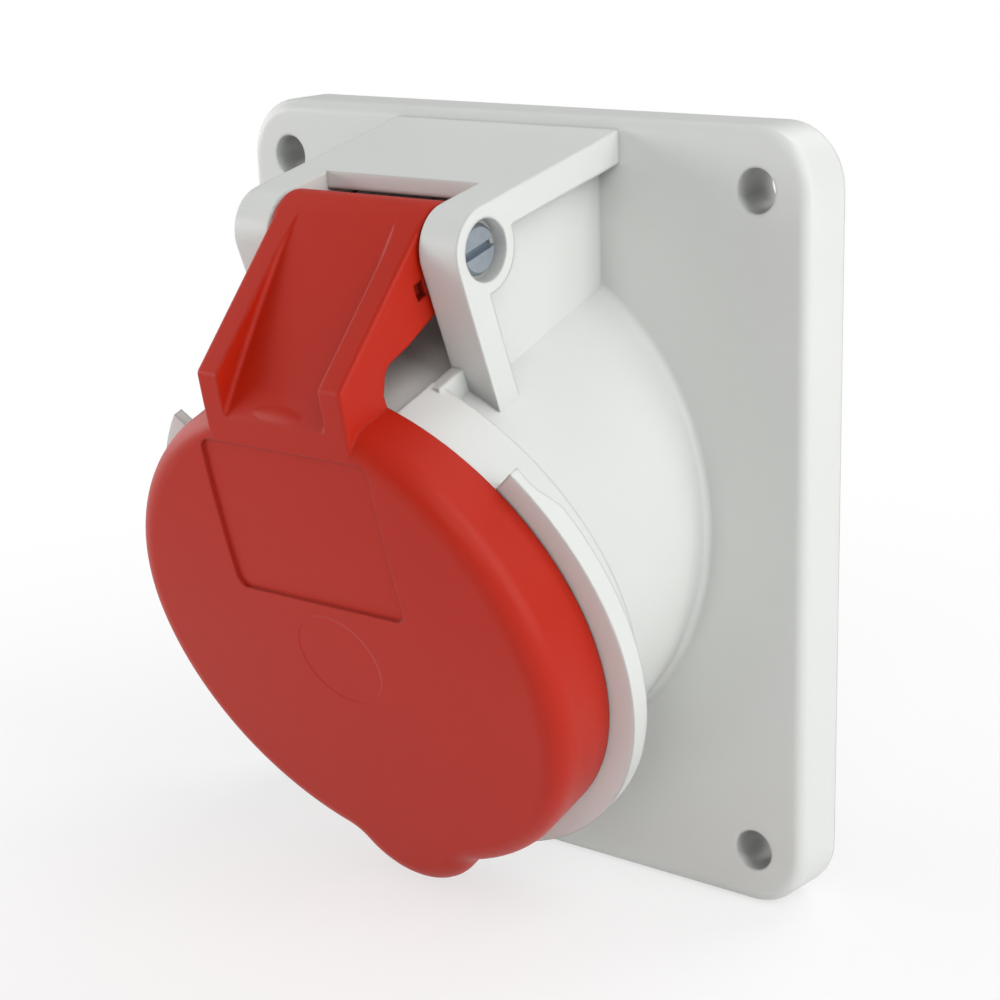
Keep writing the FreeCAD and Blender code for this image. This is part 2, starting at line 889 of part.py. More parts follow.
def brow_height(up, depth):
    """Height of the face above the lid's middle, where it bends back to the arms."""
    apex_up, apex_out = arm_apex()
    fall = size.lid_face - apex_out
    bend = (apex_up * apex_up + fall * fall) / (2 * fall)
    inner = bend - depth
    return size.lid_face - bend + root(inner * inner - up * up), inner


def above_brow(sketch, far, depth):
    """Side view of all that lies above the face from the lid's middle upwards."""
    height, inner = brow_height(far, depth)
    level = size.lid_face - depth
    outline(sketch, [
        (0, level),
        (far, height, -inner),
        (far, size.lid_face + 2),
        (0, size.lid_face + 2),
    ])


def make_arms():
    """Arms, web and barrel; side views here are (up the slope, outwards)."""
    body = new_body("lid_arms")
    out, up = pin_slope_out, pin_slope_up
    radius, tube = size.barrel_radius, size.tube_radius
    arm_cos, arm_sin = cosine(size.arm_slope), sine(size.arm_slope)
    tangent_out = out + radius * arm_sin
    tangent_up = up + radius * arm_cos
    apex_up, apex_out = arm_apex()
    foot_up = tube - size.arm_foot
    foot_out, bend = brow_height(foot_up, 0)

    arms = sketch_on(body, "YZ_Plane", "arms")
    outline(arms, [
        (tangent_up, tangent_out),
        (up, out),
        (up - radius, out),
        (tube + size.arm_back_high, size.collar_start - size.arm_back_foot),
        (tube + size.arm_back_middle, size.collar_start + 1.35),
        (tube + size.arm_back_low, size.lid_rim - 2.65),
        (tube + size.arm_back_foot, size.lid_rim - 0.75, 2.6),
        (size.lid_radius - 0.6, size.lid_rim),
        (foot_up, size.lid_rim),
        (foot_up, foot_out),
        (apex_up, apex_out, -bend),
    ])
    blank = pad(body, arms, 2 * size.arm_half, both_ways=True)
    apex_y, apex_z = apex_up.value, size.arm_front.value
    tip = edges_where(
        blank, lambda point: math.hypot(point.y - apex_y, point.z - apex_z) < 0.01)
    tipped = rounding(body, blank, tip, size.arm_tip, "arm_tip_rounding")
    side = size.arm_half.value
    slope = math.radians(size.arm_slope.value)
    reach = tangent_up.value * math.cos(slope) + tangent_out.value * math.sin(slope)

    def on_top(point):
        if abs(abs(point.x) - side) > 0.001:
            return False
        return (
            point.z > apex_z - 1.5
            or abs(point.y * math.cos(slope) + point.z * math.sin(slope) - reach) < 0.01)

    rounding(body, tipped, edges_where(tipped, on_top), size.arm_edge, "arm_edge_rounding")

    # Trough between the arms: a ring, turned about a far centre behind the web,
    # that just clears the barrel and passes through the web's end at the lid.
    bend = size.web_curve - radius - 0.02
    reach_up, reach_out = size.web_end_up - up, size.web_end_out - out
    span = root(reach_up * reach_up + reach_out * reach_out)
    along = (span * span + bend * bend - size.web_curve * size.web_curve) / (2 * span)
    away = root(bend * bend - along * along)
    centre_up = up + (along * reach_up - away * reach_out) / span
    centre_out = out + (along * reach_out + away * reach_up) / span
    trough = sketch_on(body, "XZ_Plane", "trough")
    shift(trough, "y", centre_out)
    shift(trough, "z", -centre_up)
    half, blend, bottom = size.arm_inner, size.web_blend, size.web_curve
    outline(trough, [
        (half - blend, bottom),
        (half, bottom + blend, blend),
        (half, bottom + 20),
        (-half, bottom + 20),
        (-half, bottom + blend),
        (blend - half, bottom, blend),
    ])
    spin(body, trough, kind="Groove", axis="H_Axis")

    # Open space behind the web.
    thick = size.web_thick
    web_up = up + (up - centre_up) * radius / bend
    web_out = out + (out - centre_out) * radius / bend
    web_cos = (up - centre_up) / bend
    web_sin = (out - centre_out) / bend
    behind = sketch_on(body, "YZ_Plane", "behind_web")
    outline(behind, [
        (up - radius - 1, out - 2),
        (foot_up, out),
        (size.lid_radius - 1.2, size.lid_rim - 0.8),
        (size.web_end_up + 4.2, size.lid_rim - 0.8),
        (web_up - thick * web_cos, web_out - thick * web_sin, -size.web_curve),
    ])
    pocket(body, behind, 2 * size.arm_inner, both_ways=True)

    solid = sketch_on(body, "YZ_Plane", "barrel")
    circle(solid, up, out, radius)
    pad(body, solid, 2 * size.arm_half, both_ways=True)

    room = sketch_on(body, "YZ_Plane", "spring_chamber")
    circle(room, up, out, size.spring_room)
    pocket(body, room, 2 * size.spring_room_half, both_ways=True)

    # Window that lets the spring's fixed leg pass while the lid swings.
    window = sketch_on(body, "YZ_Plane", "leg_window")
    wide = radius + 0.6
    corners = [(up, out)]
    for angle in (-90, -60, -30, 10, 50, 90):
        corners.append((up - wide * cosine(angle), out - wide * sine(angle)))
    outline(window, corners)
    pocket(body, window, 2 * size.spring_room_half, both_ways=True)

    bore = sketch_on(body, "YZ_Plane", "barrel_bore")
    circle(bore, up, out, size.pin_radius + size.turning_gap)
    pocket(body, bore, 2 * size.arm_half + 1, both_ways=True)

    low, high = tube + 9.4, tube + 11.5
    for side_sign, label in ((1, "notch_right"), (-1, "notch_left")):
        notch = sketch_on(body, "YZ_Plane", label)
        shift(notch, "z", side_sign * (size.arm_half - size.notch_deep))
        rectangle(notch, low, out + 5.15, high, out + 6.85)
        pocket(body, notch, size.notch_deep + 1, backwards=(side_sign > 0))
    return body


def cut_label(moulding):
    """Shallow label field that follows the face."""
    skin = new_body("label_skin")
    slope_place(skin)
    across = sketch_on(skin, "XY_Plane", "label_skin_plan")
    shift(across, "z", size.lid_rim + 4)
    circle(across, 0, 0, size.lid_radius - 1)
    pad(skin, across, size.lid_face - size.lid_rim)
    side = sketch_on(skin, "YZ_Plane", "label_skin_side")
    far = size.lid_radius + 1
    height, inner = brow_height(far, size.label_deep)
    outline(side, [
        (-far, size.lid_face - size.label_deep),
        (0, size.lid_face - size.label_deep),
        (far, height, -inner),
        (far, size.lid_rim),
        (-far, size.lid_rim),
    ])
    pocket(skin, side, 2 * far, both_ways=True)

    label = new_body("label_prism")
    slope_place(label)
    plan = sketch_on(label, "XY_Plane", "label_plan")
    shift(plan, "z", size.lid_rim + 4)
    corner = size.label_corner
    low, high = size.label_low, size.label_high
    low_half, high_half = size.label_low_half, size.label_high_half
    outline(plan, [
        (low_half - corner, low),
        (low_half, low + corner, corner),
        (high_half, high - corner),
        (high_half - corner, high, corner),
        (corner - high_half, high),
        (-high_half, high - corner, corner),
        (-low_half, low + corner),
        (corner - low_half, low, corner),
    ])
    pad(label, plan, 20)

    field = document.addObject("Part::Common", "label_field")
    field.Base = skin
    field.Tool = label
    lid = document.addObject("Part::Cut", "lid")
    lid.Base = moulding
    lid.Tool = field
    lid.Label = "lid"
    return lid


def turned(label, points, placed=slope_place):
    """A body turned about its own Z from a side view (radius, station)."""
    body = new_body(label)
    placed(body)
    side = sketch_on(body, "XZ_Plane", label + "_side")
    outline(side, points)
    spin(body, side)
    return body


def make_lid_gasket():
    return turned("lid_gasket", [
        (size.gasket_inner, size.tube_mouth + size.gasket_gap),
        (size.lid_inner - size.gasket_fit, size.tube_mouth + size.gasket_gap),
        (size.lid_inner - size.gasket_fit, size.lid_seat),
        (size.gasket_inner, size.lid_seat),
    ])


def make_pin():
    long = size.block_half - size.pin_recess
    body = turned("hinge_pin", [
        (0, -long),
        (size.pin_radius - size.pin_edge, -long),
        (size.pin_radius, size.pin_edge - long),
        (size.pin_radius, size.pin_head_start),
        (size.pin_head, size.pin_head_start),
        (size.pin_head, long - size.pin_edge),
        (size.pin_head - size.pin_edge, long),
        (0, long),
    ], placed=pin_place)
    slot = sketch_on(body, "XY_Plane", "pin_slot_plan")
    turn(slot, ALONG_Z, 90 + size.pin_slot_turn)
    shift(slot, "z", long)
    rectangle(slot, -5, -size.pin_slot / 2, 5, size.pin_slot / 2)
    pocket(body, slot, size.pin_slot_deep)
    return body


def make_spring():
    body = new_body("lid_spring")
    pin_place(body)
    section = sketch_on(body, "XZ_Plane", "wire")
    turn(section, ALONG_Y, 270)
    outline(section, [
        (
            size.spring_radius + size.spring_wire * cosine(22.5 + 45 * corner),
            size.spring_wire * sine(22.5 + 45 * corner) - size.spring_half)
        for corner in range(8)
    ])
    coil = body.newObject("PartDesign::AdditiveHelix", "coil")
    coil.Profile = section
    coil.ReferenceAxis = (section, ["V_Axis"])
    coil.Mode = 0
    coil.setExpression("Pitch", size.spring_pitch.text)
    coil.setExpression("Height", (2 * size.spring_half).text)
    coil.LeftHanded = True
    leg = sketch_on(body, "YZ_Plane", "leg")
    circle(leg, -size.spring_radius, -size.spring_half, size.spring_wire)
    pad(body, leg, size.pin_up - leg_ground() + size.spring_hole_deep - 0.4)
    return body


def make_flange_gasket():
    body = new_body("flange_gasket")
    frame = sketch_on(body, "XZ_Plane", "seal_plan")
    inset = size.flange_wall + size.seal_gap
    rounded_rectangle(
        frame, size.flange_width / 2 - inset, size.flange_height / 2 - inset,
        size.flange_corner - inset)
    circle(frame, 0, size.seat_lift, size.seat_inner + size.gasket_fit)
    for side in (-1, 1):
        for level in (-1, 1):
            circle(
                frame, side * size.screw_across / 2, level * size.screw_up / 2,
                size.screw_collar + size.gasket_fit)
    pad(body, frame, size.seal_thick)
    return body


def contact_centre(name):
    angle = contact_size(name, "angle")
    return (size.contact_circle * cosine(angle), size.contact_circle * sine(angle))


# Contact carrier: the round insert with five contact wells.
def make_carrier():
    body = turned("contact_carrier", [
        (0, size.carrier_face),
        (0, -size.carrier_back),
        (size.carrier_flange, -size.carrier_back),
        (size.carrier_flange, -size.lip_back),
        (size.carrier_radius, -size.lip_back),
        (size.carrier_radius, size.carrier_face - size.carrier_edge),
        (size.carrier_radius - size.carrier_edge, size.carrier_face),
    ])
    rooms = sketch_on(body, "XY_Plane", "wells")
    shift(rooms, "z", -size.carrier_back)
    faces = sketch_on(body, "XY_Plane", "pin_holes")
    shift(faces, "z", size.carrier_face)
    for name, *_ in CONTACTS:
        across, up = contact_centre(name)
        sleeve = contact_size(name, "sleeve")
        circle(rooms, across, up, sleeve + size.clip_thick + size.clip_room)
        circle(faces, across, up, contact_size(name, "pin") + size.contact_gap)
    pocket(body, rooms, size.carrier_back + size.contact_room, backwards=True)
    pocket(body, faces, size.carrier_face - size.contact_room + 1)
    pilot = sketch_on(body, "XY_Plane", "centre_pilot")
    shift(pilot, "z", -size.carrier_back)
    circle(pilot, 0, 0, size.centre_radius + size.turning_gap)
    for side in (-1, 1):
        circle(pilot, side * size.fixing_circle, 0, size.fixing_radius + 0.3)
    pocket(body, pilot, size.carrier_back + 2, backwards=True)
    return body


def make_block():
    body = turned("terminal_block", [
        (0, -size.carrier_back),
        (0, -size.block_back),
        (size.block_radius - 1, -size.block_back),
        (size.block_radius, 1 - size.block_back),
        (size.block_radius, -size.carrier_back),
    ])
    seats = sketch_on(body, "XY_Plane", "contact_seats")
    shift(seats, "z", -size.carrier_back)
    rooms = sketch_on(body, "XY_Plane", "barrel_rooms")
    shift(rooms, "z", -size.carrier_back)
    entries = sketch_on(body, "XY_Plane", "wire_entries")
    shift(entries, "z", -size.block_back)
    for name, *_ in CONTACTS:
        across, up = contact_centre(name)
        circle(seats, across, up, contact_size(name, "flange") + size.contact_gap)
        circle(rooms, across, up, contact_size(name, "barrel") + size.contact_gap)
        circle(entries, across, up, size.wire_entry)
    pocket(body, seats, size.contact_flange)
    pocket(body, rooms, size.contact_back - size.carrier_back + 0.5)
    pocket(body, entries, 8, backwards=True)

    centre = sketch_on(body, "XY_Plane", "centre_hole")
    shift(centre, "z", -size.block_back)
    circle(centre, 0, 0, size.centre_radius + 0.3)
    pocket(body, centre, size.block_back, backwards=True)
    sink = sketch_on(body, "XY_Plane", "centre_sink_plan")
    shift(sink, "z", -size.block_back)
    circle(sink, 0, 0, size.centre_head + 0.3)
    pocket(body, sink, size.centre_sink, backwards=True)

    access = sketch_on(body, "YZ_Plane", "screw_access")
    turn(access, ALONG_Y, size.l3_angle)
    circle(access, 0, -size.clamp_station, size.clamp_room)
    hole = body.newObject("PartDesign::Pocket", "screw_access_hole")
    hole.Profile = access
    hole.SideType = "One side"
    hole.Reversed = True
    hole.setExpression("Length", (size.block_radius + 2).text)
    start = sketch_on(body, "XZ_Plane", "access_axis")
    repeat(body, [hole], start, 5)
    return body


def make_contact(name):
    across, up = contact_centre(name)
    pin = contact_size(name, "pin")
    sleeve = contact_size(name, "sleeve")
    barrel = contact_size(name, "barrel")
    flange = contact_size(name, "flange")
    back = -size.carrier_back

    def placed(body):
        slope_place(body, across, up)

    body = turned("contact_" + name, [
        (pin, size.contact_front),
        (pin, size.contact_front - size.contact_depth),
        (0, size.contact_front - size.contact_depth),
        (0, -size.wire_depth),
        (size.wire_hole, -size.wire_depth),
        (size.wire_hole, -size.contact_back),
        (barrel, -size.contact_back),
        (barrel, back - size.contact_flange),
        (flange, back - size.contact_flange),
        (flange, back),
        (sleeve, back),
        (sleeve, size.contact_front),
    ], placed=placed)
    slit = sketch_on(body, "XZ_Plane", "slit_" + name)
    rectangle(
        slit, -size.slit_wide / 2, size.slit_end, size.slit_wide / 2, size.contact_front + 1)
    pocket(body, slit, 2 * flange, both_ways=True)
    hole = sketch_on(body, "YZ_Plane", "clamp_hole_" + name)
    turn(hole, ALONG_Y, contact_size(name, "angle"))
    circle(hole, 0, -size.clamp_station, size.clamp_radius + size.turning_gap)
    pocket(body, hole, flange, backwards=True)
    return body


def make_clip(name):
    across, up = contact_centre(name)
    inner = contact_size(name, "sleeve") + 0.05

    def placed(body):
        slope_place(body, across, up)

    body = turned("contact_clip_" + name, [
        (inner, size.clip_back),
        (inner + size.clip_thick, size.clip_back),
        (inner + size.clip_thick, size.clip_front),
        (inner, size.clip_front),
    ], placed=placed)
    gap = sketch_on(body, "YZ_Plane", "clip_gap_" + name)
    rectangle(
        gap, -size.clip_gap / 2, size.clip_back - 1, size.clip_gap / 2, size.clip_front + 1)
    pocket(body, gap, 2 * inner, backwards=True)
    return body


def make_clamp_screws():
    body = new_body("terminal_screws")
    slope_place(body)
    side = sketch_on(body, "XZ_Plane", "clamp_side")
    turn(side, ALONG_Y, size.l3_angle)
    shift(side, "y", -size.clamp_station)
    outline(side, [
        (size.clamp_tip, 0),
        (size.clamp_end, 0),
        (size.clamp_end, size.clamp_head),
        (size.clamp_shoulder, size.clamp_head),
        (size.clamp_shoulder, size.clamp_radius),
        (size.clamp_tip, size.clamp_radius),
    ])
    screw = spin(body, side, axis="H_Axis")
    slot = sketch_on(body, "YZ_Plane", "clamp_slot")
    turn(slot, ALONG_Y, size.l3_angle)
    slot.setExpression(
        "AttachmentOffset.Base.x", (size.clamp_end * sine(size.l3_angle)).text)
    slot.setExpression(
        "AttachmentOffset.Base.z", (size.clamp_end * cosine(size.l3_angle)).text)
    rectangle(
        slot, -size.driver_slot / 2, -size.clamp_station - 3,
        size.driver_slot / 2, 3 - size.clamp_station)
    cut = pocket(body, slot, size.driver_deep)
    repeat(body, [screw, cut], side, 5)
    return body


def make_fixing_screws():
    body = new_body("carrier_screws")
    slope_place(body)
    side = sketch_on(body, "XZ_Plane", "fixing_side")
    shift(side, "x", size.fixing_circle)
    back = -size.carrier_back
    outline(side, [
        (0, back + size.fixing_long),
        (0, back - size.fixing_head_long),
        (size.fixing_head, back - size.fixing_head_long),
        (size.fixing_head, back),
        (size.fixing_radius, back),
        (size.fixing_radius, back + size.fixing_long),
    ])
    screw = spin(body, side)
    slot = sketch_on(body, "XY_Plane", "fixing_slot")
    shift(slot, "z", back - size.fixing_head_long)
    rectangle(
        slot, size.fixing_circle - 3, -size.driver_slot / 2,
        size.fixing_circle + 3, size.driver_slot / 2)
    cut = pocket(body, slot, size.driver_deep, backwards=True)
    axis = sketch_on(body, "XZ_Plane", "fixing_axis")
    repeat(body, [screw, cut], axis, 2)
    return body


def make_centre_screw():
    head_back = size.centre_sink - size.block_back
    body = turned("centre_screw", [
        (0, head_back + size.centre_long),
        (0, head_back - size.centre_head_long),
        (size.centre_head, head_back - size.centre_head_long),
        (size.centre_head, head_back),
        (size.centre_radius, head_back),
        (size.centre_radius, head_back + size.centre_long),
    ])
    slot = sketch_on(body, "XY_Plane", "centre_slot")
    shift(slot, "z", head_back - size.centre_head_long)
    rectangle(slot, -5, -size.driver_slot / 2, 5, size.driver_slot / 2)
    pocket(body, slot, size.driver_deep, backwards=True)
    return body


pieces = [
    make_housing(),
    cut_label(make_lid()),
    make_lid_gasket(),
    make_pin(),
    make_spring(),
    make_flange_gasket(),
    make_carrier(),
    make_block(),
    make_clamp_screws(),
    make_fixing_screws(),
    make_centre_screw(),
]
for contact_name, *_ in CONTACTS:
    pieces.append(make_contact(contact_name))
    pieces.append(make_clip(contact_name))

document.recompute()

faults = []
for item in document.Objects:
    if "Invalid" in item.State or "Error" in item.State:
        faults.append("%s: %s" % (item.Label, item.State))
for piece in pieces:
    if piece.Shape.isNull() or not piece.Shape.isValid():
        faults.append("%s: no valid shape" % piece.Label)
if faults:
    raise SystemExit("\n".join(faults))

os.makedirs("parts", exist_ok=True)
for piece in pieces:
    piece.Shape.exportStep("parts/%s.step" % piece.Label)
    box = piece.Shape.BoundBox
    print("%-20s %d solids %9.1f mm3  x %.1f..%.1f y %.1f..%.1f z %.1f..%.1f" % (
        piece.Label, len(piece.Shape.Solids), piece.Shape.Volume,
        box.XMin, box.XMax, box.YMin, box.YMax, box.ZMin, box.ZMax))
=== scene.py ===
# %% [markdown]
# # A sloping panel socket with a sprung lid
#
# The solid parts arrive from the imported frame.  This lesson gives each of them
# the finish of the real thing, rounds the edges that a mould rounds, and lights
# and frames the socket as a product photographer would.

# %% Load the frame
import json
import math

import bmesh
import bpy
from mathutils import Matrix, Vector


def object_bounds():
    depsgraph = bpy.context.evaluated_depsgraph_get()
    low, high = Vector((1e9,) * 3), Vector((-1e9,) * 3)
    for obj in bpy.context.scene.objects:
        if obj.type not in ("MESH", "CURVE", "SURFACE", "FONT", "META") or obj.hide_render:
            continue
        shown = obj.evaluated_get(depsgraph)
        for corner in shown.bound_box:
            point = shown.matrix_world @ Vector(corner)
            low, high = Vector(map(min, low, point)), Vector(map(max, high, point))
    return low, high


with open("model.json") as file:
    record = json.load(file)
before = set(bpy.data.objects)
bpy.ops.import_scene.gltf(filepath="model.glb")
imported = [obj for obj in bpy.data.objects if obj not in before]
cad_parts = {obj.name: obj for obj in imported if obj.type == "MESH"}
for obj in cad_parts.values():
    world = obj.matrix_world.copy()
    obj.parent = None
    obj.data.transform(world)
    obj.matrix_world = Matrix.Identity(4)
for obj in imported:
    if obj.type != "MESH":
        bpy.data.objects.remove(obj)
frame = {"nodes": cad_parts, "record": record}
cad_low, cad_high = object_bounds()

MM = 0.001
print("nodes:", len(frame["nodes"]), "box:", [round(v, 4) for v in cad_high - cad_low])

# %% [markdown]
# ## Camera
#
# The flange's corners alone could place the camera.  The screw holes and the rim
# of the lid fix it better: they give the distance too.  So the camera's place,
# direction and lens come from a fit of a pinhole camera to all of them at once.
# A long lens keeps the shape natural.

# %% Camera
AZIMUTH = math.radians(40.31)
ELEVATION = math.radians(20.02)
ROLL = math.radians(-2.0)
DISTANCE = 330.6 * MM
TARGET = Vector((-3.31, -7.7, -30.08)) * MM
FOCAL_PIXELS = 2369.7
CENTRE_X, CENTRE_Y = 504.3, 698.4
PICTURE_PIXELS = 1000
SENSOR_WIDTH = 36
CLIP_NEAR, CLIP_FAR = 0.01, 20


def place_camera():
    back = Vector((
        math.sin(AZIMUTH) * math.cos(ELEVATION),
        -math.cos(AZIMUTH) * math.cos(ELEVATION),
        math.sin(ELEVATION)))
    right = (-back).cross(Vector((0, 0, 1))).normalized()
    up = right.cross(-back)
    rolled_right = math.cos(ROLL) * right + math.sin(ROLL) * up
    rolled_up = -math.sin(ROLL) * right + math.cos(ROLL) * up
    turned = Matrix((rolled_right, rolled_up, back)).transposed().to_4x4()
    data = bpy.data.cameras.new("camera")
    data.sensor_width = SENSOR_WIDTH
    data.lens = FOCAL_PIXELS * SENSOR_WIDTH / PICTURE_PIXELS
    data.shift_x = 0.5 - CENTRE_X / PICTURE_PIXELS
    data.shift_y = CENTRE_Y / PICTURE_PIXELS - 0.5
    data.clip_start = CLIP_NEAR
    data.clip_end = CLIP_FAR
    camera = bpy.data.objects.new("camera", data)
    camera.matrix_world = Matrix.Translation(TARGET + back * DISTANCE) @ turned
    bpy.context.scene.collection.objects.link(camera)
    bpy.context.scene.camera = camera
    return camera


camera = place_camera()
print("lens %.1f mm" % camera.data.lens)

# %% [markdown]
# ## Helpers for materials
#
# Every colour is written as the sRGB value that a colour picker shows.  The
# shaders want linear light, so one function turns it.  A second one adds a node
# with its settings and links in one call, which keeps each recipe readable.

# %% Helpers for materials
SIGNAL_RED = "B6220A"


def linear(hex_colour):
    """Linear RGBA from an sRGB hex value."""
    parts = [int(hex_colour[i:i + 2], 16) / 255 for i in (0, 2, 4)]
    return tuple(
        p / 12.92 if p <= 0.04045 else ((p + 0.055) / 1.055) ** 2.4 for p in parts) + (1.0,)


def add_node(tree, kind, links=(), **settings):
    """Adds a node; settings name properties or inputs; links are (input, source socket)."""
    node = tree.nodes.new(kind)
    for name, value in settings.items():
        if hasattr(node, name):
            setattr(node, name, value)
        else:
            node.inputs[name.replace("_", " ")].default_value = value
    for name, source in links:
        tree.links.new(source, node.inputs[name])
    return node


def new_material(name):
    material = bpy.data.materials.new(name)
    material.use_nodes = True
    material.node_tree.nodes.clear()
    return material, material.node_tree


print("signal red in linear light:", [round(v, 3) for v in linear(SIGNAL_RED)])

# %% [markdown]
# ## Floor and backdrop
#
# The photograph is a cut-out on white.  A pale sheet lies under the socket and
# keeps a soft shadow close to it; further out the sheet turns into a plain
# white glow.  That glow is only for the camera and for reflections, through
# Light Path, so it throws no extra light on the socket.

# %% Floor and backdrop
FLOOR_HEIGHT = cad_low.z
FLOOR_HALF = 3.0
PAPER_COLOUR = "F4F4F4"
GLOW_STARTS, GLOW_ENDS = 0.05, 0.22
GLOW_LEAST = 0.62


def studio_paper(name, colour):
    material, tree = new_material(name)
    path = add_node(tree, "ShaderNodeLightPath")
    mirrored = add_node(tree, "ShaderNodeMath", operation="MAXIMUM", links=(
        (0, path.outputs["Is Glossy Ray"]), (1, path.outputs["Is Transmission Ray"])))
    seen = add_node(tree, "ShaderNodeMath", operation="MAXIMUM", links=(
        (0, path.outputs["Is Camera Ray"]), (1, mirrored.outputs[0])))
    place = add_node(tree, "ShaderNodeTexCoord")
    reach = add_node(tree, "ShaderNodeVectorMath", operation="LENGTH", links=(
        (0, place.outputs["Object"]),))
    far = add_node(tree, "ShaderNodeMapRange", interpolation_type="SMOOTHSTEP",
                   From_Min=GLOW_STARTS, From_Max=GLOW_ENDS, To_Min=GLOW_LEAST, To_Max=1.0,
                   links=(("Value", reach.outputs["Value"]),))
    glow = add_node(tree, "ShaderNodeMath", operation="MULTIPLY", links=(
        (0, seen.outputs[0]), (1, far.outputs[0])))
    paper = add_node(tree, "ShaderNodeBsdfDiffuse", Color=linear(colour))
    white = add_node(tree, "ShaderNodeEmission", Color=(1, 1, 1, 1), Strength=1.0)
    mix = add_node(tree, "ShaderNodeMixShader", links=(
        (0, glow.outputs[0]), (1, paper.outputs[0]), (2, white.outputs[0])))
    add_node(tree, "ShaderNodeOutputMaterial", links=(("Surface", mix.outputs[0]),))
    return material


def make_floor():
    mesh = bpy.data.meshes.new("studio_floor")
    shape = bmesh.new()
    bmesh.ops.create_grid(shape, x_segments=1, y_segments=1, size=FLOOR_HALF)
    bmesh.ops.translate(shape, verts=shape.verts, vec=(0, 0, FLOOR_HEIGHT))
    shape.to_mesh(mesh)
    shape.free()
    floor = bpy.data.objects.new("studio_floor", mesh)
    floor.data.materials.append(studio_paper("studio paper", PAPER_COLOUR))
    bpy.context.scene.collection.objects.link(floor)


def make_world(strength):
    world = bpy.data.worlds.new("studio")
    bpy.context.scene.world = world
    world.use_nodes = True
    tree = world.node_tree
    tree.nodes.clear()
    path = add_node(tree, "ShaderNodeLightPath")
    seen = add_node(tree, "ShaderNodeMath", operation="MAXIMUM", links=(
        (0, path.outputs["Is Camera Ray"]), (1, path.outputs["Is Transmission Ray"])))
    level = add_node(tree, "ShaderNodeMapRange", To_Min=strength, To_Max=1.0, links=(
        ("Value", seen.outputs[0]),))
    back = add_node(tree, "ShaderNodeBackground", Color=(1, 1, 1, 1), links=(
        ("Strength", level.outputs[0]),))
    add_node(tree, "ShaderNodeOutputWorld", links=(("Surface", back.outputs[0]),))


make_floor()
print("floor at %.1f mm" % (FLOOR_HEIGHT / MM))

# %% [markdown]
# ## Lamps
#
# Large soft boxes stand round the socket: three on the right, two on the left and
# one behind.  None stands straight in front, so the sides and the top edges are
# light and the fronts stay quiet, as in the photograph.  Each row gives a name,
# the place and the size in metres, and the power in watts.
#
# The places and sizes were chosen one by one.  The world's level and the powers of the
# right and rear lamps are near those of a least squares fit: the socket was rendered
# with one lamp at a time, and the sum was matched to the picture's tones.  The fit
# gave lamps in front next to nothing, so they were dropped.  It wanted more from the
# two on the left, but that side grew too white, so they were turned down.
# The level stays plain, so a colour comes out about as it is written.

# %% Lamps
WORLD_LEVEL = 0.28
LAMPS_AIM = Vector((0, -0.02, 0))
LAMPS = [
    ("right", (0.80, 0.00, 0.25), (0.60, 0.60), 2.9),
    ("front right", (0.60, -0.75, 0.50), (0.50, 0.50), 2.0),
    ("left", (-0.85, 0.00, 0.30), (0.60, 0.60), 2.4),
    ("low left", (-0.80, -0.45, 0.15), (0.50, 0.30), 2.8),
    ("high right", (0.60, -0.10, 0.70), (0.50, 0.50), 2.1),
    ("behind above", (0.10, 0.60, 0.75), (0.60, 0.50), 2.9),
]


def soft_box(name, place, size, power):
    data = bpy.data.lights.new(name, "AREA")
    data.shape = "RECTANGLE"
    data.size, data.size_y = size
    data.energy = power
    lamp = bpy.data.objects.new(name, data)
    lamp.location = place
    aim = LAMPS_AIM - Vector(place)
    lamp.rotation_euler = aim.to_track_quat("-Z", "Y").to_euler()
    bpy.context.scene.collection.objects.link(lamp)


make_world(WORLD_LEVEL)
for name, place, box_size, power in LAMPS:
    soft_box(name, place, box_size, power)
bpy.context.scene.view_settings.view_transform = "Standard"
print("lamps:", len(LAMPS))

# %% [markdown]
# ## Moulded plastic
#
# Housing and lid are injection moulded polyamide.  The tool is lightly eroded,
# so the skin is satin.  The real grain is about 0.1 mm across, less than a pixel,
# so it is drawn three times as coarse to show at all.  Big faces sink a little as
# they cool, which bends the light softly.  Both are bump: they are far too low to
# be seen in the outline.  Lengths are in millimetres here, and MM makes them metres.
#
# No moulded edge is sharp: the tool leaves a radius of a few tenths of a
# millimetre that catches the light as a thin line.  The larger radii are in the
# solids; Cycles' Bevel node adds the small ones to the normal alone, so the
# shape stays as the frame gives it.
#
# Light that falls far into a hole is swallowed after a few bounces, and here that
# shade is painted into the base colour: Ambient Occlusion measures how closed in a
# point is by its own piece alone, so the painted shade in the screw holes and slots
# stays with the piece when the lid opens.

# %% Moulded plastic
GRAIN = 0.3
SINK_ACROSS, SINK_HEIGHT = 25, 0.03
FLOW_ACROSS = 18
# Painted shade in holes and slots: its reach in millimetres, then the occlusion levels and the
# darkest factor.
PAINTED_SHADE_REACH = 8
PAINTED_SHADE_CLOSED, PAINTED_SHADE_OPEN, PAINTED_SHADE_DARKEST = 0.18, 0.50, 0.12
SINK_STRENGTH, GRAIN_STRENGTH = 0.35, 0.5
PLASTIC_GRAIN_HEIGHT = 0.006
SMOOTHER, ROUGHER = 0.03, 0.05
POLYAMIDE_IOR = 1.53
EDGE_SAMPLES, PAINTED_SHADE_SAMPLES = 4, 2


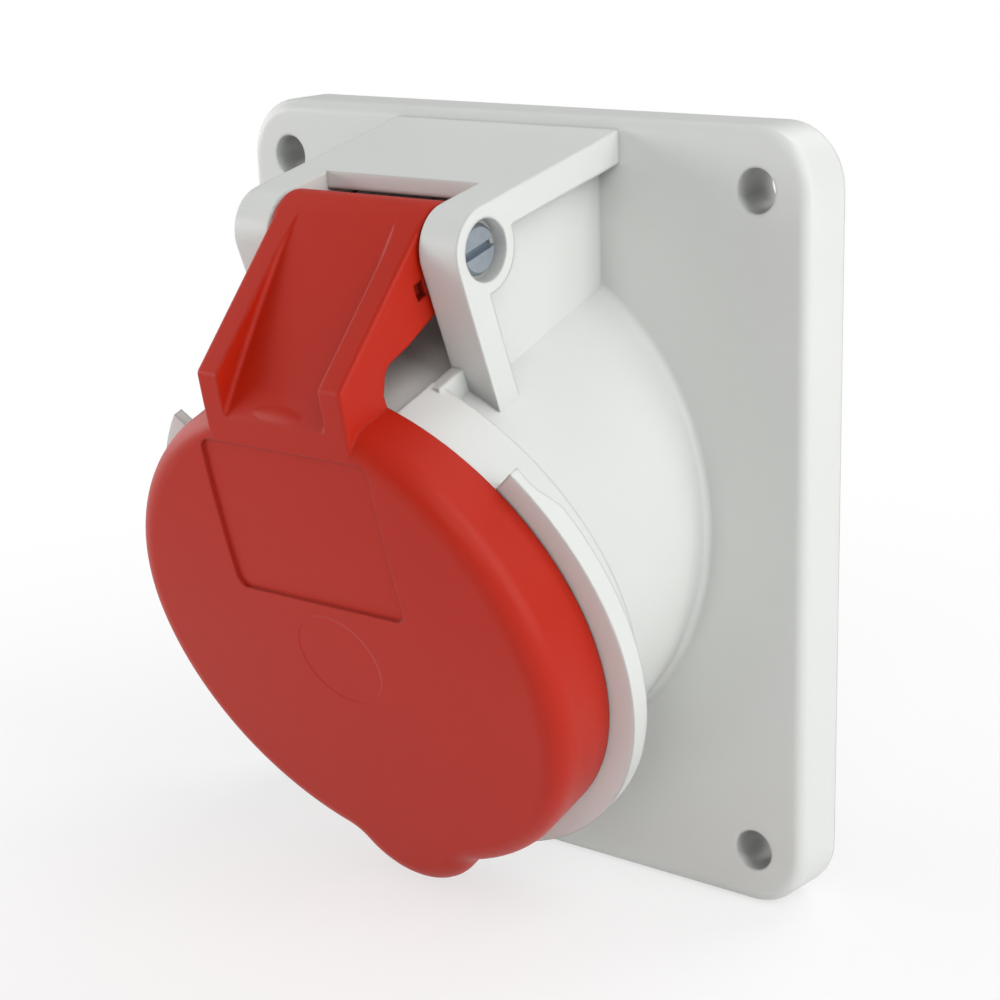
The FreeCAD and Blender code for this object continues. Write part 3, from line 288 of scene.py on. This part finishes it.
def satin_skin(tree, place, tone, roughness, grain_height, edge, shine=0.5, raised=None,
               raised_height=0):
    """Shader of a satin moulding: rounded edges, sink, eroded grain, painted shade in hollows.
    """
    where = ("Vector", place.outputs["Object"])
    fine = add_node(tree, "ShaderNodeTexNoise", Scale=1 / (GRAIN * MM), Detail=1.0,
                    links=(where,))
    rough = add_node(tree, "ShaderNodeMapRange", To_Min=roughness - SMOOTHER,
                     To_Max=roughness + ROUGHER, links=(("Value", fine.outputs["Fac"]),))
    rounded = add_node(tree, "ShaderNodeBevel", samples=EDGE_SAMPLES, Radius=edge * MM)
    sunk = add_node(tree, "ShaderNodeTexNoise", Scale=1 / (SINK_ACROSS * MM), Detail=0.0,
                    links=(where,))
    soft = add_node(tree, "ShaderNodeBump", Strength=SINK_STRENGTH, Distance=SINK_HEIGHT * MM,
                    links=(("Height", sunk.outputs["Fac"]),
                           ("Normal", rounded.outputs["Normal"])))
    if raised is not None:
        soft = add_node(tree, "ShaderNodeBump", Distance=raised_height * MM, links=(
            ("Height", raised), ("Normal", soft.outputs["Normal"])))
    bump = add_node(tree, "ShaderNodeBump", Strength=GRAIN_STRENGTH,
                    Distance=grain_height * MM, links=(
                        ("Height", fine.outputs["Fac"]), ("Normal", soft.outputs["Normal"])))
    # Painted shade: the base colour is darkened where the piece's own ambient occlusion is low,
    # in holes and slots.
    painted_shade_ao = add_node(tree, "ShaderNodeAmbientOcclusion", samples=PAINTED_SHADE_SAMPLES,
                      only_local=True, Distance=PAINTED_SHADE_REACH * MM)
    shade = add_node(tree, "ShaderNodeMapRange", From_Min=PAINTED_SHADE_CLOSED, From_Max=PAINTED_SHADE_OPEN,
                     To_Min=PAINTED_SHADE_DARKEST, To_Max=1.0, links=(
                         ("Value", painted_shade_ao.outputs["AO"]),))
    painted_shade_tone = add_node(tree, "ShaderNodeVectorMath", operation="SCALE", links=(
        (0, tone), ("Scale", shade.outputs[0])))
    skin = add_node(tree, "ShaderNodeBsdfPrincipled", IOR=POLYAMIDE_IOR,
                    Specular_IOR_Level=shine, links=(
                        ("Base Color", painted_shade_tone.outputs[0]),
                        ("Roughness", rough.outputs[0]),
                        ("Normal", bump.outputs["Normal"])))
    add_node(tree, "ShaderNodeOutputMaterial", links=(("Surface", skin.outputs[0]),))


def two_shades(tree, place, across, detail, colour, shade):
    """Two nearly equal shades in clouds that are so many millimetres across."""
    cloud = add_node(tree, "ShaderNodeTexNoise", Scale=1 / (across * MM), Detail=detail, links=(
        ("Vector", place.outputs["Object"]),))
    tone = add_node(tree, "ShaderNodeMix", data_type="RGBA", links=((0, cloud.outputs["Fac"]),))
    tone.inputs[6].default_value = linear(colour)
    tone.inputs[7].default_value = linear(shade)
    return cloud, tone.outputs[2]


def moulded_plastic(name, colour, shade, roughness, edge=0.35):
    material, tree = new_material(name)
    place = add_node(tree, "ShaderNodeTexCoord")
    _, tone = two_shades(tree, place, FLOW_ACROSS, 2.0, colour, shade)
    satin_skin(tree, place, tone, roughness, PLASTIC_GRAIN_HEIGHT, edge)
    return material


grey_polyamide = moulded_plastic("moulded polyamide light grey", "D9DBD8", "D3D5D2", 0.38,
                                 edge=0.6)
dark_polyamide = moulded_plastic("moulded polyamide black", "232325", "1E1E20", 0.45)
block_polyamide = moulded_plastic("moulded polyamide mid grey", "8C8F8F", "868989", 0.5)

# %% [markdown]
# ## The red lid
#
# The same plastic in signal red, with a little more grain and less shine.  The
# lid's tool carries a round insert, which leaves a faint ring on the face below
# the label field.  It is under a tenth of a millimetre high, so it is a bump:
# the coordinates are turned into the lid's own sloping frame, where the ring is
# a plain distance from its centre.

# %% The red lid
LID_SLOPE = math.radians(20)
LID_AXIS_Y = -7.7
RING_UP, RING_RADIUS, RING_EDGE, RING_HEIGHT = -0.6, 6.6, 0.25, 0.08
LID_GRAIN_HEIGHT = 0.012
LID_EDGE = 0.5
LID_SHINE = 0.22


def red_lid(name, colour, shade, roughness):
    material, tree = new_material(name)
    place = add_node(tree, "ShaderNodeTexCoord")
    _, tone = two_shades(tree, place, FLOW_ACROSS, 2.0, colour, shade)
    up_slope = Vector((0, -math.sin(LID_SLOPE), math.cos(LID_SLOPE)))
    centre = Vector((0, LID_AXIS_Y, 0)) * MM + up_slope * RING_UP * MM
    moved = add_node(tree, "ShaderNodeVectorMath", operation="SUBTRACT", links=(
        (0, place.outputs["Object"]),))
    moved.inputs[1].default_value = centre
    turned = add_node(tree, "ShaderNodeVectorRotate", rotation_type="X_AXIS",
                      Angle=-LID_SLOPE, links=(("Vector", moved.outputs[0]),))
    flat = add_node(tree, "ShaderNodeVectorMath", operation="MULTIPLY", links=(
        (0, turned.outputs[0]),))
    flat.inputs[1].default_value = (1, 0, 1)
    reach = add_node(tree, "ShaderNodeVectorMath", operation="LENGTH", links=(
        (0, flat.outputs[0]),))
    ring = add_node(tree, "ShaderNodeMapRange", interpolation_type="SMOOTHSTEP",
                    From_Min=(RING_RADIUS - RING_EDGE) * MM,
                    From_Max=(RING_RADIUS + RING_EDGE) * MM,
                    links=(("Value", reach.outputs["Value"]),))
    satin_skin(tree, place, tone, roughness, LID_GRAIN_HEIGHT, LID_EDGE, LID_SHINE,
               ring.outputs[0], RING_HEIGHT)
    return material


red_polyamide = red_lid("moulded polyamide signal red", SIGNAL_RED, "B11F08", 0.42)
print("plastics:", [m.name for m in bpy.data.materials if "polyamide" in m.name])

# %% [markdown]
# ## Rubber and metals
#
# Seals are black moulded rubber, matt with a faint bloom.  The hinge pin and
# the screws are turned steel with a blue-white zinc plate, which is slightly
# cloudy and keeps the tool's fine marks.  Contacts are turned brass, and the
# spring and the clips are drawn spring steel.  All of them have fine marks and a
# cloudy skin, so one recipe makes them, with other colours and another roughness.

# %% Rubber and metals
BLOOM_ACROSS, RUBBER_GRAIN_HEIGHT, RUBBER_GRAIN_STRENGTH = 3, 0.02, 0.4
RUBBER_ROUGHNESS, RUBBER_IOR = 0.75, 1.52
MARKS_APART, MARK_HEIGHT, MARK_STRENGTH = 0.12, 0.01, 0.3
CLOUD_ACROSS = 1.5
SHINIER, DULLER = 0.06, 0.10


def moulded_rubber(name, colour, bloom):
    material, tree = new_material(name)
    place = add_node(tree, "ShaderNodeTexCoord")
    _, tone = two_shades(tree, place, BLOOM_ACROSS, 4.0, colour, bloom)
    fine = add_node(tree, "ShaderNodeTexNoise", Scale=1 / (GRAIN * MM), Detail=1.0, links=(
        ("Vector", place.outputs["Object"]),))
    bump = add_node(tree, "ShaderNodeBump", Strength=RUBBER_GRAIN_STRENGTH,
                    Distance=RUBBER_GRAIN_HEIGHT * MM, links=(
                        ("Height", fine.outputs["Fac"]),))
    skin = add_node(tree, "ShaderNodeBsdfPrincipled", Roughness=RUBBER_ROUGHNESS,
                    IOR=RUBBER_IOR, links=(
                        ("Base Color", tone), ("Normal", bump.outputs["Normal"])))
    add_node(tree, "ShaderNodeOutputMaterial", links=(("Surface", skin.outputs[0]),))
    return material


def worked_metal(name, colour, shade, roughness):
    """Metal with fine tool marks and a surface that is a little cloudy."""
    material, tree = new_material(name)
    place = add_node(tree, "ShaderNodeTexCoord")
    marks = add_node(tree, "ShaderNodeTexNoise", Scale=1 / (MARKS_APART * MM), Detail=2.0,
                     links=(("Vector", place.outputs["Object"]),))
    cloud, tone = two_shades(tree, place, CLOUD_ACROSS, 3.0, colour, shade)
    rough = add_node(tree, "ShaderNodeMapRange", To_Min=roughness - SHINIER,
                     To_Max=roughness + DULLER, links=(("Value", cloud.outputs["Fac"]),))
    bump = add_node(tree, "ShaderNodeBump", Strength=MARK_STRENGTH, Distance=MARK_HEIGHT * MM,
                    links=(("Height", marks.outputs["Fac"]),))
    skin = add_node(tree, "ShaderNodeBsdfPrincipled", Metallic=1.0, links=(
        ("Base Color", tone),
        ("Roughness", rough.outputs[0]),
        ("Normal", bump.outputs["Normal"])))
    add_node(tree, "ShaderNodeOutputMaterial", links=(("Surface", skin.outputs[0]),))
    return material


black_rubber = moulded_rubber("moulded rubber black", "1A1A1A", "2C2C2B")
zinc_steel = worked_metal("turned steel zinc plated", "C3CCD6", "AAB4BF", 0.34)
spring_steel = worked_metal("drawn spring steel", "9A9C9E", "7E8184", 0.30)
turned_brass = worked_metal("turned brass", "C9A45A", "B48E48", 0.28)
FINISHES = {
    "housing_grey": grey_polyamide,
    "lid_red": red_polyamide,
    "seal_rubber": black_rubber,
    "flange_seal": black_rubber,
    "pin_steel": zinc_steel,
    "spring_steel": spring_steel,
    "carrier_plastic": dark_polyamide,
    "block_plastic": block_polyamide,
    "clamp_steel": zinc_steel,
    "fixing_steel": zinc_steel,
    "centre_steel": zinc_steel,
    "contact_brass": turned_brass,
    "clip_steel": spring_steel,
}
for part in frame["record"]["subparts"]:
    shape = frame["nodes"][part["node"]]
    shape.data.materials.clear()
    shape.data.materials.append(FINISHES[part["material_slot"]])
